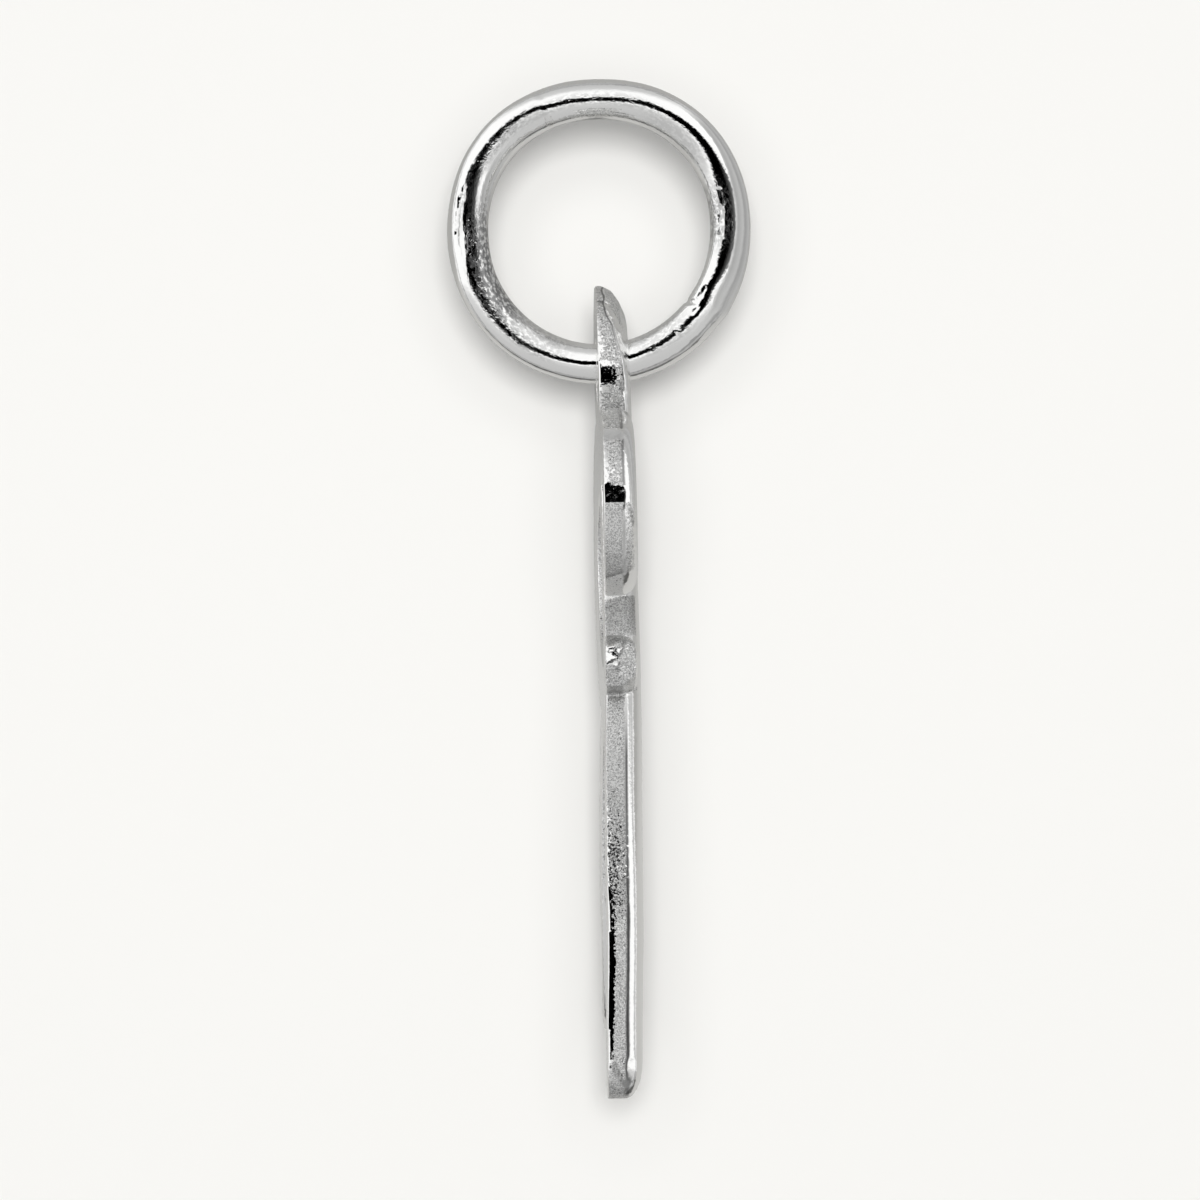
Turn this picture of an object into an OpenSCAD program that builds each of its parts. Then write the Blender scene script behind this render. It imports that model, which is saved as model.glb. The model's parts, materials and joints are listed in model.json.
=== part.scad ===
// Letter charm: a cast script letter R with a cast-on eye, hanging from a soldered jump ring.
// Millimetres. +Z is up and +X is the way the letter's polished front faces, so +Y is the reader's right.
// The origin is the top of the jump ring's inside, where a chain or hook carries the charm.

/* [Jump ring] */
// Diameter of the ring's round wire
wire_d = 0.8; // [0.7:0.05:0.9]
// Inside diameter of the ring
ring_inner_d = 4.5; // [4.2:0.1:5]

/* [Letter] */
// Width of the letter from the flag's curl to the toe of the leg
letter_w = 11.5; // [11.1:0.1:11.9]
// Height of the casting from the eye's top to the foot of the stem
letter_h = 16.18; // [15.8:0.02:16.6]
// Thickness of the casting at the crown of its heaviest stroke
letter_t = 0.74; // [0.6:0.02:0.8]
// Share of the thickness that the upright side wall takes, below the rounded shoulder
wall_share = 0.5; // [0.4:0.05:0.6]
// How much thinner a stroke gets as its width goes to nothing, as a share of the thickness
light_stroke_loss = 0.3; // [0.2:0.05:0.4]
// How far the hanging letter leans, its foot towards the front
lean = 0.9; // [0:0.1:3]

/* [Eye] */
// Diameter of the round hole that the ring passes through
eye_hole_d = 1.5; // [1.4:0.1:1.6]
// Outside diameter of the eye
eye_outer_d = 3.6; // [3.5:0.02:3.8]
// Share of the eye's thickness that its upright wall takes
eye_wall_share = 0.72; // [0.5:0.02:0.8]
// How far the flats filed on the front of the eye's top reach in from its rim
filing_reach = 0.5; // [0.4:0.05:0.6]
// How far the middle of the eye hangs to the front of the ring's lowest point
eye_offset = 0.26; // [0:0.02:0.3]
// Clear space left between the hole and the wire that it hangs on
hang_gap = 0.04; // [0.03:0.01:0.06]

/* [Hidden] */

// The strokes' centre lines, seen from the front and measured from the middle of the eye's hole.
// Columns: across (to the reader's right), up, half width. Each run of the pen is one table.
FLAG_AND_BOWL = [
    [-2.90, -3.20, 0.56], // ball that ends the flag's curl
    [-3.56, -3.74, 0.60],
    [-4.46, -3.70, 0.62],
    [-5.18, -3.06, 0.60],
    [-5.32, -2.20, 0.56], // furthest left
    [-4.76, -1.48, 0.53],
    [-3.66, -1.20, 0.51],
    [-2.06, -1.32, 0.54],
    [-0.16, -1.54, 0.66], // under the eye
    [ 1.74, -1.72, 0.78],
    [ 3.32, -2.56, 0.88],
    [ 3.78, -4.05, 0.88], // furthest right of the bowl
    [ 2.86, -5.52, 0.74],
    [ 1.30, -6.26, 0.56],
    [-0.26, -6.28, 0.48],
    [-1.36, -6.00, 0.48],
    [-2.28, -5.72, 0.53], // stub to the left of the stem
];
STEM = [
    [ 0.29, -1.60, 0.60],
    [ 0.02, -3.40, 0.70],
    [-0.78, -5.80, 0.80],
    [-1.70, -7.90, 0.86],
    [-2.32, -9.60, 0.86],
    [-2.54, -11.2, 0.84],
    [-2.58, -12.6, 0.80],
    [-2.62, -13.66, 0.74], // foot
];
LEG = [
    [ 0.32, -6.45, 0.50],
    [ 1.56, -7.70, 0.72],
    [ 2.54, -9.60, 0.88],
    [ 3.26, -11.3, 0.84],
    [ 4.14, -12.5, 0.64],
    [ 5.20, -12.6, 0.42], // toe
];
ACROSS = 0;
UP = 1;
HALF_WIDTH = 2;

// Flats filed round the front of the eye's top, on both sides of the middle.
// Columns: degrees from the top, thickness left at the rim
FILED_FLATS = [[0, 0.18], [20, 0.2], [40, 0.27], [60, 0.43]];

run_steps = 5;             // rings swept between one row of a table and the next
section_steps = 8;         // straight pieces over the crown of a section
section_roundness = 0.8;   // 1 is a half ellipse, less is squarer at the shoulders
end_angles = [25, 48, 68, 84];
heaviest = max([for (row = concat(FLAG_AND_BOWL, STEM, LEG)) row[HALF_WIDTH]]);
wall_t = letter_t * wall_share;
eye_sides = 64;
eye_rim_share = 0.3;       // how far the crown falls again at the rim of the hole

wire_r = wire_d / 2;
ring_inner_r = ring_inner_d / 2;
ring_mean_r = ring_inner_r + wire_r;
eye_hole_r = eye_hole_d / 2;
eye_outer_r = eye_outer_d / 2;
eye_half_width = (eye_outer_r - eye_hole_r) / 2;
eye_t = letter_t * weight(eye_half_width);
// The front edge of the hole hangs where the ring has already begun to rise
eye_front = eye_offset + eye_t / 2;
eye_z = -ring_inner_r - sqrt(pow(ring_inner_r, 2) - pow(eye_front, 2)) + hang_gap - eye_hole_r;
cut_over = 1;

// A smooth curve through the rows of a table, from b to c, with the rows on either side as guides
function between(a, b, c, d, t) =
    0.5 * (2 * b + (c - a) * t + (2 * a - 5 * b + 4 * c - d) * pow(t, 2)
        + (3 * b - a - 3 * c + d) * pow(t, 3));
function row_at(rows, i) =
    i < 0 ? 2 * rows[0] - rows[1] :
    i >= len(rows) ? 2 * rows[i - 1] - rows[i - 2] : rows[i];
function smooth_run(rows) = concat(
    [for (i = [0:len(rows) - 2], k = [0:run_steps - 1])
        between(row_at(rows, i - 1), rows[i], rows[i + 1], row_at(rows, i + 2), k / run_steps)],
    [rows[len(rows) - 1]]);

// The way the pen moves at row i
function heading(rows, i) =
    let (step = rows[min(i + 1, len(rows) - 1)] - rows[max(i - 1, 0)],
         way = [step[ACROSS], step[UP]])
    way / norm(way);

// A run's rings as [row, heading, fullness], closed at both ends by a terminal that is round both ways
function end_rings(row, way, side) =
    [for (a = end_angles)
        let (reach = row[HALF_WIDTH] * sin(a) * side)
        [[row[ACROSS] + way[0] * reach, row[UP] + way[1] * reach, row[HALF_WIDTH] * cos(a)],
         way, cos(a)]];
function reversed(list) = [for (i = [len(list) - 1:-1:0]) list[i]];
function rings_of(rows) =
    let (last = len(rows) - 1)
    concat(reversed(end_rings(rows[0], heading(rows, 0), -1)),
        [for (i = [0:last]) [rows[i], heading(rows, i), 1]],
        end_rings(rows[last], heading(rows, last), 1));

// One D-shaped ring: flat back, upright walls, rounded shoulders and a domed front
function signed_pow(value, power) = sign(value) * pow(abs(value), power);
function weight(half_width) = 1 - light_stroke_loss * (1 - half_width / heaviest);
function section(ring) =
    let (row = ring[0], way = ring[1],
         wall = wall_t * weight(row[HALF_WIDTH]),
         rise = (letter_t - wall_t) * weight(row[HALF_WIDTH]) * ring[2],
         profile = concat([[-1, 0]],
            [for (k = [0:section_steps])
                let (a = 180 * k / section_steps)
                [-signed_pow(cos(a), section_roundness), wall + rise * pow(sin(a), section_roundness)]],
            [[1, 0]]))
    [for (p = profile)
        let (off = p[0] * row[HALF_WIDTH])
        [p[1], row[ACROSS] - way[1] * off, row[UP] + way[0] * off]];

module stroke(table) {
    rings = rings_of(smooth_run(table));
    n = section_steps + 3;
    last = len(rings) - 1;
    polyhedron(
        points = [for (ring = rings) each section(ring)],
        faces = concat(
            [[for (k = [n - 1:-1:0]) k]],
            [for (i = [0:last - 1], k = [0:n - 1])
                [i * n + k, i * n + (k + 1) % n, (i + 1) * n + (k + 1) % n, (i + 1) * n + k]],
            [[for (k = [0:n - 1]) last * n + k]]));
}

// The eye is a disc with the same flat back and rounded shoulder as the strokes
module eye_disc() {
    wall = eye_t * eye_wall_share;
    rise = eye_t - wall;
    outer = [for (a = [0:15:90])
        [eye_hole_r + eye_half_width * (1 + cos(a)), wall + rise * sin(a)]];
    inner_t = wall + rise * (1 - eye_rim_share);
    rotate([0, 90, 0])
        rotate_extrude($fn = eye_sides)
            polygon(concat([[0, 0], [eye_outer_r, 0]], outer, [[eye_hole_r, inner_t], [0, inner_t]]));
}

// All that lies outside a flat, which runs from the rim of the eye's top up to the front face
module beyond_flat(from_top, rim_t) {
    rotate([from_top, 0, 0])
        translate([rim_t, 0, eye_outer_r])
            rotate([0, -atan2(eye_t - rim_t, filing_reach), 0])
                translate([0, -eye_outer_d, -eye_outer_d])
                    cube(2 * eye_outer_d);
}

module filed_eye() {
    difference() {
        eye_disc();
        for (flat = FILED_FLATS, side = [-1, 1])
            beyond_flat(side * flat[0], flat[1]);
    }
}

// The whole casting, brought to its stated size from the strokes' own proportions
module casting() {
    resize([letter_t, letter_w, letter_h])
        union() {
            filed_eye();
            stroke(FLAG_AND_BOWL);
            stroke(STEM);
            stroke(LEG);
        }
}

module letter() {
    color("lightgray")
        translate([eye_offset, 0, eye_z])
            rotate([0, -lean, 0])
                translate([-eye_t / 2, 0, 0])
                    difference() {
                        casting();
                        translate([-cut_over, 0, 0])
                            rotate([0, 90, 0])
                                cylinder(r = eye_hole_r, h = letter_t + 2 * cut_over, $fn = eye_sides);
                    }
}

module jump_ring() {
    color("silver")
        translate([0, 0, -ring_inner_r])
            rotate([90, 0, 0])
                rotate_extrude($fn = 96)
                    translate([ring_mean_r, 0])
                        circle(r = wire_r, $fn = 48);
}

jump_ring();
letter();
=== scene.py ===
"""Letter charm: a cast script letter R on a soldered jump ring, both of bright polished white metal.

The ring and the letter are modelled in millimetres, seen from the front: X is the depth towards the
viewer, Y runs across to the right and Z runs up. They are then set down in the row frame, in metres,
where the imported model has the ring's middle and the hinge through the letter's eye.
"""

import json
import logging
import math
from contextlib import contextmanager
from dataclasses import dataclass, field
from enum import Enum
from typing import Callable, Iterator, Sequence

import bmesh
import bpy
import numpy as np
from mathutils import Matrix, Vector
from mathutils.bvhtree import BVHTree


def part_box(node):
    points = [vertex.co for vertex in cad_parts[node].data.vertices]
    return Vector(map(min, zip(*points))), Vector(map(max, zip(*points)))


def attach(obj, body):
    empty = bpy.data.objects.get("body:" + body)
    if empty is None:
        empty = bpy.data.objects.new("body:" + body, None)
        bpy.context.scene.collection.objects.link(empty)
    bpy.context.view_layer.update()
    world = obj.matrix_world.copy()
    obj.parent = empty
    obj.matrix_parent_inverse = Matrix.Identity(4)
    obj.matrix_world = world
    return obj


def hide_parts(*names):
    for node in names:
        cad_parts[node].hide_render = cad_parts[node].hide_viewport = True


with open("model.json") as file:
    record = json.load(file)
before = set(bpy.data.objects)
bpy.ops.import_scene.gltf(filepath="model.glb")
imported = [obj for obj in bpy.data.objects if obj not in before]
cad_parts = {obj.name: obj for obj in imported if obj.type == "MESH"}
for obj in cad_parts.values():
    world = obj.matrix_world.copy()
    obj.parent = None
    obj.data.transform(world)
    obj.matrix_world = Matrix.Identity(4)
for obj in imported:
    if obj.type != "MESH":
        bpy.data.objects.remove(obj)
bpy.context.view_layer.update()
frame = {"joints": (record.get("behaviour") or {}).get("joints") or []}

Row = Sequence[float]
Rows = tuple[Row, ...]
Span = tuple[float, float]
Triple = tuple[float, float, float]
Colour = tuple[float, float, float, float]
Piece = bpy.types.Object
Socket = bpy.types.NodeSocket
Surface = tuple[Socket, Socket, Socket]  # colour, roughness and normal
Test = Callable[[bmesh.types.BMVert], bool]

MM = 0.001
FULL_TURN = 2 * math.pi
QUARTER_TURN = math.pi / 2
CIRCLE = 360  # degrees
QUAD = 4  # corners
TOUCHING = 1e-5  # vertices no further apart are one
RING_R = 2.25  # inside, in millimetres
WIRE_R = 0.4
SOLDER_ANGLE = -33.5  # degrees from the right
RISING: Span = (0.0, 1.0)
FALLING: Span = (1.0, 0.0)
BLACK: Colour = (0.0, 0.0, 0.0, 1.0)

log = logging.getLogger("letter_charm")


class Slot(Enum):
    """The record's material slots."""

    WIRE = "polished_wire"
    CASTING = "polished_casting"


class Zone(Enum):
    """Mesh attributes that say where a finish changes, and where shade, light, a shade line and dark mottles
    are painted.
    """

    OFF_STRIP = "off_strip"
    TILT = "tilt"
    MATT = "matt"
    # Painted shade, and painted light where it is below 0
    SHADE = "shade"
    COARSE = "coarse"
    # How thick the painted dark mottles are
    SOILED = "mottled"
    # How strong the painted shade line below the shoulder is
    EDGED = "shade_line_share"
    WORN = "worn"


# Modelling by operators


def make_active(piece: Piece) -> None:
    """Select one object and nothing else."""
    bpy.ops.object.select_all(action="DESELECT")
    piece.select_set(True)
    bpy.context.view_layer.objects.active = piece


@contextmanager
def editing(piece: Piece, mode: str = "VERT") -> Iterator[None]:
    """Edit a piece's mesh in mode "VERT", "EDGE" or "FACE", at first with all of it selected."""
    make_active(piece)
    bpy.ops.object.mode_set(mode="EDIT")
    bpy.ops.mesh.select_mode(type=mode)
    bpy.ops.mesh.select_all(action="SELECT")
    try:
        yield
    finally:
        bpy.ops.object.mode_set(mode="OBJECT")


def pick_vertices(piece: Piece, test: Test) -> bool:
    """Select, in edit mode, the vertices that pass a test, and say whether there are any."""
    mesh = bmesh.from_edit_mesh(piece.data)
    mesh.verts.index_update()
    for vertex in mesh.verts:
        vertex.select = test(vertex)
    mesh.select_flush_mode()
    bmesh.update_edit_mesh(piece.data)
    return any(vertex.select for vertex in mesh.verts)


def delete_sections(piece: Piece) -> None:
    """Delete, in face mode, the sections that a sweep or a spin leaves inside."""
    mesh = bmesh.from_edit_mesh(piece.data)
    for face in mesh.faces:
        face.select = len(face.verts) > QUAD
    bmesh.update_edit_mesh(piece.data)
    bpy.ops.mesh.delete(type="ONLY_FACE")


def press_in(piece: Piece, near: np.ndarray, push: Vector, reach: float) -> None:
    """Push the vertices that are near, and let the skin within a reach of them follow softly."""
    wanted = near.tolist()
    with editing(piece):
        if pick_vertices(piece, lambda vertex: wanted[vertex.index]):
            bpy.ops.transform.translate(value=push, use_proportional_edit=True,
                                        proportional_edit_falloff="SMOOTH", proportional_size=reach)


def scale_selected(value: Triple, axes: Sequence[Row], centre: Row) -> None:
    """Scale the selection about a centre, along three square axes that are given as rows."""
    bpy.ops.transform.resize(value=value, orient_type="LOCAL", orient_matrix=axes,
                             orient_matrix_type="LOCAL", center_override=centre)


def settle(piece: Piece) -> None:
    """Bring an object's place, turn and scale into its mesh."""
    make_active(piece)
    bpy.ops.object.transform_apply(location=True, rotation=True, scale=True)


def apply_modifier(piece: Piece, kind: str, **settings: object) -> None:
    """Give a piece a modifier with its settings and apply it."""
    make_active(piece)
    modifier = piece.modifiers.new(kind, kind)
    for name, value in settings.items():
        setattr(modifier, name, value)
    bpy.ops.object.modifier_apply(modifier=modifier.name)


def face_outwards(piece: Piece) -> None:
    """Merge doubles and turn every face outwards."""
    with editing(piece):
        bpy.ops.mesh.remove_doubles(threshold=TOUCHING)
        bpy.ops.mesh.normals_make_consistent(inside=False)


def set_down(piece: Piece, place: Vector, turn: Triple) -> None:
    """Bring a finished piece from its own millimetres to its place in the row frame, in metres."""
    piece.scale = (MM, MM, MM)
    piece.rotation_euler = turn
    piece.location = place
    settle(piece)
    bpy.ops.object.shade_smooth()


@dataclass(frozen=True)
class Flat:
    """A small flat that a file or a wheel has left round a point, in the piece's own millimetres."""

    at: Triple
    facing: Triple
    radius: float

    def file(self, piece: Piece) -> None:
        """Press what stands out beyond the flat back onto its plane. The piece is in edit mode."""
        at, facing = Vector(self.at), Vector(self.facing).normalized()
        aside = facing.orthogonal().normalized()

        def beyond(vertex: bmesh.types.BMVert) -> bool:
            """Whether a vertex stands out beyond the flat and near it."""
            off = vertex.co - at
            return off.dot(facing) > 0 and off.length < self.radius
        if pick_vertices(piece, beyond):
            scale_selected((0, 1, 1), [tuple(axis) for axis in (facing, aside, facing.cross(aside))], at)


@dataclass(frozen=True)
class Station:
    """One place along a sweep, in millimetres and radians, with the section square to the heading.

    The oval is a stretch along the diagonal between front and left, which moves the crest to that side.
    """

    across: float
    up: float
    heading: float
    half_width: float
    depth: float
    oval: float = 1.0

    def stretch(self, before: float) -> None:
        """Stretch the selected section along its diagonal, from the oval before to the station's own."""
        if self.oval == before:
            return
        sin, cos, half = math.sin(self.heading), math.cos(self.heading), math.sqrt(0.5)
        diagonals = ((half, -half * sin, half * cos), (half, half * sin, -half * cos), (0, cos, sin))
        scale_selected((self.oval / before, before / self.oval, 1), diagonals, (0, self.across, self.up))


def sweep(section: Piece, stations: Sequence[Station]) -> None:
    """Extrude a unit section along a run of stations, turning and scaling it at each.

    Args:
        section: an object whose mesh is one face in X and Y. It becomes the swept solid.
        stations: the places it passes, two or more.
    """
    start = stations[0]
    section.scale = (start.depth, start.half_width, 1)
    section.rotation_euler = (start.heading + QUARTER_TURN, 0, 0)
    section.location = (0, start.across, start.up)
    settle(section)
    with editing(section, "FACE"):
        start.stretch(1.0)
        for before, here in zip(stations, stations[1:]):
            step = (0, here.across - before.across, here.up - before.up)
            centre = (0, here.across, here.up)
            bpy.ops.mesh.extrude_region_move(TRANSFORM_OT_translate={"value": step})
            turn = math.remainder(here.heading - before.heading, FULL_TURN)
            # With no window the operator turns the other way
            bpy.ops.transform.rotate(value=-turn, orient_axis="X", center_override=centre)
            growth = here.half_width / before.half_width
            bpy.ops.transform.resize(value=(here.depth / before.depth, growth, growth),
                                     center_override=centre)
            here.stretch(before.oval)


# Numbers for each vertex


def between(rows: Sequence[Row], i: int, t: float) -> list[float]:
    """Where a smooth curve through rows of numbers is, by a share t of the way from row i to the next."""
    known = np.array(rows, float)
    carried_on = np.vstack([2 * known[0] - known[1], known, 2 * known[-1] - known[-2]])
    a, b, c, d = carried_on[i:i + 4]
    return list(0.5 * (2 * b + (c - a) * t + (2 * a - 5 * b + 4 * c - d) * t ** 2
                       + (3 * b - a - 3 * c + d) * t ** 3))


def smooth_step(value: np.ndarray, low: float, high: float) -> np.ndarray:
    """0 below low, 1 above high and a smooth rise between."""
    t = np.clip((value - low) / (high - low), 0, 1)
    return t * t * (3 - 2 * t)


def smooth_drop(value: np.ndarray, low: float, high: float) -> np.ndarray:
    """1 below low, 0 above high and a smooth fall between."""
    return 1 - smooth_step(value, low, high)


def away_from(points: np.ndarray, first: Row, last: Row) -> np.ndarray:
    """How far each of some flat points lies from the line between two others."""
    start, way = np.array(first), np.subtract(last, first)
    share = np.clip((points - start) @ way / (way @ way), 0, 1)
    return np.linalg.norm(points - start - share[:, None] * way, axis=1)


def vectors(source: bpy.types.bpy_prop_collection, name: str) -> np.ndarray:
    """A vector that each element of a mesh holds, a row for each."""
    flat = np.empty(len(source) * 3, np.float32)
    source.foreach_get(name, flat)
    return flat.reshape(-1, 3).astype(float)


def places(piece: Piece) -> np.ndarray:
    """The places of a mesh's vertices, a row for each."""
    return vectors(piece.data.vertices, "co")


def mark_zone(piece: Piece, zone: Zone, values: np.ndarray) -> None:
    """Keep a value for each vertex as a mesh attribute."""
    attribute = piece.data.attributes.new(zone.value, "FLOAT", "POINT")
    attribute.data.foreach_set("value", values.astype(np.float32))


# Finishes


@dataclass(frozen=True)
class Grain:
    """A noise with grains of a size in metres, and, for its uses, its depth in metres and its spots' span."""

    size: float
    detail: float = 2.0
    distortion: float = 0.0
    depth: float = 0.0
    span: Span = RISING


class Graph:
    """Builds a node graph with short calls."""

    def __init__(self, tree: bpy.types.NodeTree) -> None:
        """Start on an empty tree."""
        self.tree = tree
        tree.nodes.clear()

    def add(self, kind: str, inputs: dict | None = None, **settings: object) -> bpy.types.Node:
        """Add a node by its kind, with a value or a linked output for each input, and its own settings."""
        node = self.tree.nodes.new("ShaderNode" + kind)
        for name, value in settings.items():
            setattr(node, name, value)
        for name, value in (inputs or {}).items():
            if isinstance(value, Socket):
                self.tree.links.new(value, node.inputs[name])
            else:
                node.inputs[name].default_value = value
        return node

    def out(self, kind: str, inputs: dict | None = None, **settings: object) -> Socket:
        """The first output of a new node."""
        return self.add(kind, inputs, **settings).outputs[0]

    def place(self) -> Socket:
        """Object coordinates."""
        return self.add("TexCoord").outputs["Object"]

    def zone(self, zone: Zone) -> Socket:
        """What the mesh says of a zone."""
        return self.add("Attribute", attribute_name=zone.value).outputs["Fac"]

    def parts(self, vector: Socket) -> Sequence[Socket]:
        """The X, Y and Z of a vector."""
        return self.add("SeparateXYZ", {0: vector}).outputs

    def math(self, operation: str, *values: object) -> Socket:
        """The output of a Math node over values and outputs."""
        return self.out("Math", dict(enumerate(values)), operation=operation)

    def times(self, product: object, *others: object) -> Socket:
        """The product of values and outputs."""
        for other in others:
            product = self.math("MULTIPLY", product, other)
        return product

    def vector_math(self, operation: str, first: object, second: object) -> Socket:
        """The vector that a Vector Math node makes of two."""
        return self.out("VectorMath", {0: first, 1: second}, operation=operation)

    def rise(self, value: object, span: Span, to: Span = RISING, smooth: bool = True) -> Socket:
        """A value mapped from one span to another, held at both ends."""
        inputs = {"Value": value, "From Min": span[0], "From Max": span[1], "To Min": to[0], "To Max": to[1]}
        return self.out("MapRange", inputs, interpolation_type="SMOOTHSTEP" if smooth else "LINEAR")

    def straight(self, share: object, to: Span) -> Socket:
        """A value that goes straight from one end of a span to the other by a share from 0 to 1."""
        return self.rise(share, RISING, to, smooth=False)

    def blend(self, share: object, first: object, second: object) -> Socket:
        """A colour between two, by a share from 0 to 1."""
        return self.add("Mix", {0: share, 6: first, 7: second}, data_type="RGBA").outputs[2]

    def noise(self, place: Socket, grain: Grain) -> Socket:
        """A grain's noise."""
        return self.out("TexNoise", {"Vector": place, "Scale": 1 / grain.size, "Detail": grain.detail,
                                     "Distortion": grain.distortion})

    def spots(self, place: Socket, grain: Grain, to: Span = RISING) -> Socket:
        """A grain's noise, mapped from its own span to another."""
        return self.rise(self.noise(place, grain), grain.span, to)

    def relief(self, place: Socket, grain: Grain, strength: object = 1.0,
               normal: Socket | None = None) -> Socket:
        """The normal of a skin with a grain's noise as relief, on top of another normal."""
        below = {} if normal is None else {"Normal": normal}
        return self.out("Bump", {"Height": self.noise(place, grain), "Distance": grain.depth,
                                 "Strength": strength, **below})

    def grey_ramp(self, value: Socket, stops: Rows) -> Socket:
        """A Color Ramp through grey stops, each a row of a value and a brightness."""
        low, high = stops[0][0], stops[-1][0]
        node = self.add("ValToRGB", {0: self.rise(value, (low, high), smooth=False)})
        points = node.color_ramp.elements
        for at, _ in stops[1:-1]:
            points.new((at - low) / (high - low))
        for point, (_, grey) in zip(points, stops):
            point.color = (grey, grey, grey, 1)
        return node.outputs[0]


def new_material(name: str) -> tuple[bpy.types.Material, Graph]:
    """A new material and the graph of its nodes."""
    material = bpy.data.materials.new(name)
    material.use_nodes = True
    return material, Graph(material.node_tree)


@dataclass(frozen=True)
class Finish:
    """A bright metal whose broad surface is never quite even."""

    name: str
    slot: Slot
    polish: float
    ripple: Grain
    colour: Colour = (0.88, 0.88, 0.87, 1.0)

    def surface(self, graph: Graph, place: Socket, ripple: Socket) -> Surface:
        """The surface at a place, given the normal that the ripple leaves."""
        raise NotImplementedError

    def make(self) -> bpy.types.Material:
        """A procedural metal that reads Object coordinates and the piece's own zones."""
        material, graph = new_material(self.name)
        place = graph.place()
        tone, roughness, normal = self.surface(graph, place, graph.relief(place, self.ripple))
        metal = graph.out("BsdfPrincipled", {"Base Color": tone, "Metallic": 1.0,
                                             "Roughness": roughness, "Normal": normal})
        graph.add("OutputMaterial", {"Surface": metal})
        return material


@dataclass(frozen=True)
class BrightWire(Finish):
    """Round wire with a high polish, gone uneven where the pliers and the polishing wheel met it."""

    name: str = "bright_wire"
    slot: Slot = Slot.WIRE
    polish: float = 0.055
    ripple: Grain = Grain(0.9 * MM, 0.0, depth=0.012 * MM)
    scratches: Grain = Grain(0.06 * MM, 2.5, depth=0.0024 * MM)
    scratch_stretch: float = 1.6
    pits: Grain = Grain(0.05 * MM, 1.0, 0.3, 0.015 * MM)
    # Where the worn zone is pitted, and how much the rest of it is
    patches: Grain = Grain(0.2 * MM, span=(0.4, 0.6))
    least_pitted: float = 0.3
    flecks: Grain = Grain(0.065 * MM, span=(0.33, 0.58))
    fleck_colour: Colour = (0.28, 0.28, 0.28, 1.0)
    fleck_roughness: float = 0.27

    def along_wire(self, graph: Graph, place: Socket) -> Socket:
        """Coordinates along the wire, shortened so that marks come out long, outwards and to the back."""
        x, y, z = graph.parts(place)
        z = graph.math("ADD", z, RING_R * MM)
        turned = math.radians(SOLDER_ANGLE) + math.pi
        cos, sin = math.cos(turned), math.sin(turned)
        ahead = graph.math("ADD", graph.times(x, cos), graph.times(z, sin))
        aside = graph.math("SUBTRACT", graph.times(z, cos), graph.times(x, sin))
        run = graph.times(graph.math("ARCTAN2", aside, ahead), (RING_R + WIRE_R) * MM / self.scratch_stretch)
        radius = graph.add("VectorMath", {0: graph.out("CombineXYZ", {0: x, 2: z})}, operation="LENGTH")
        return graph.out("CombineXYZ", {0: run, 1: radius.outputs["Value"], 2: y})

    def surface(self, graph: Graph, place: Socket, ripple: Socket) -> Surface:
        """A polished skin, with flecks and pits where the wire is worn."""
        wire = self.along_wire(graph, place)
        worn = graph.zone(Zone.WORN)
        pitted = graph.times(worn, graph.spots(wire, self.patches, (self.least_pitted, 1.0)))
        skin = graph.relief(wire, self.scratches, 1.0, ripple)
        flecks = graph.times(graph.spots(wire, self.flecks), worn)
        return (graph.blend(flecks, self.colour, self.fleck_colour),
                graph.straight(flecks, (self.polish, self.fleck_roughness)),
                graph.relief(wire, self.pits, pitted, skin))


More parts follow.
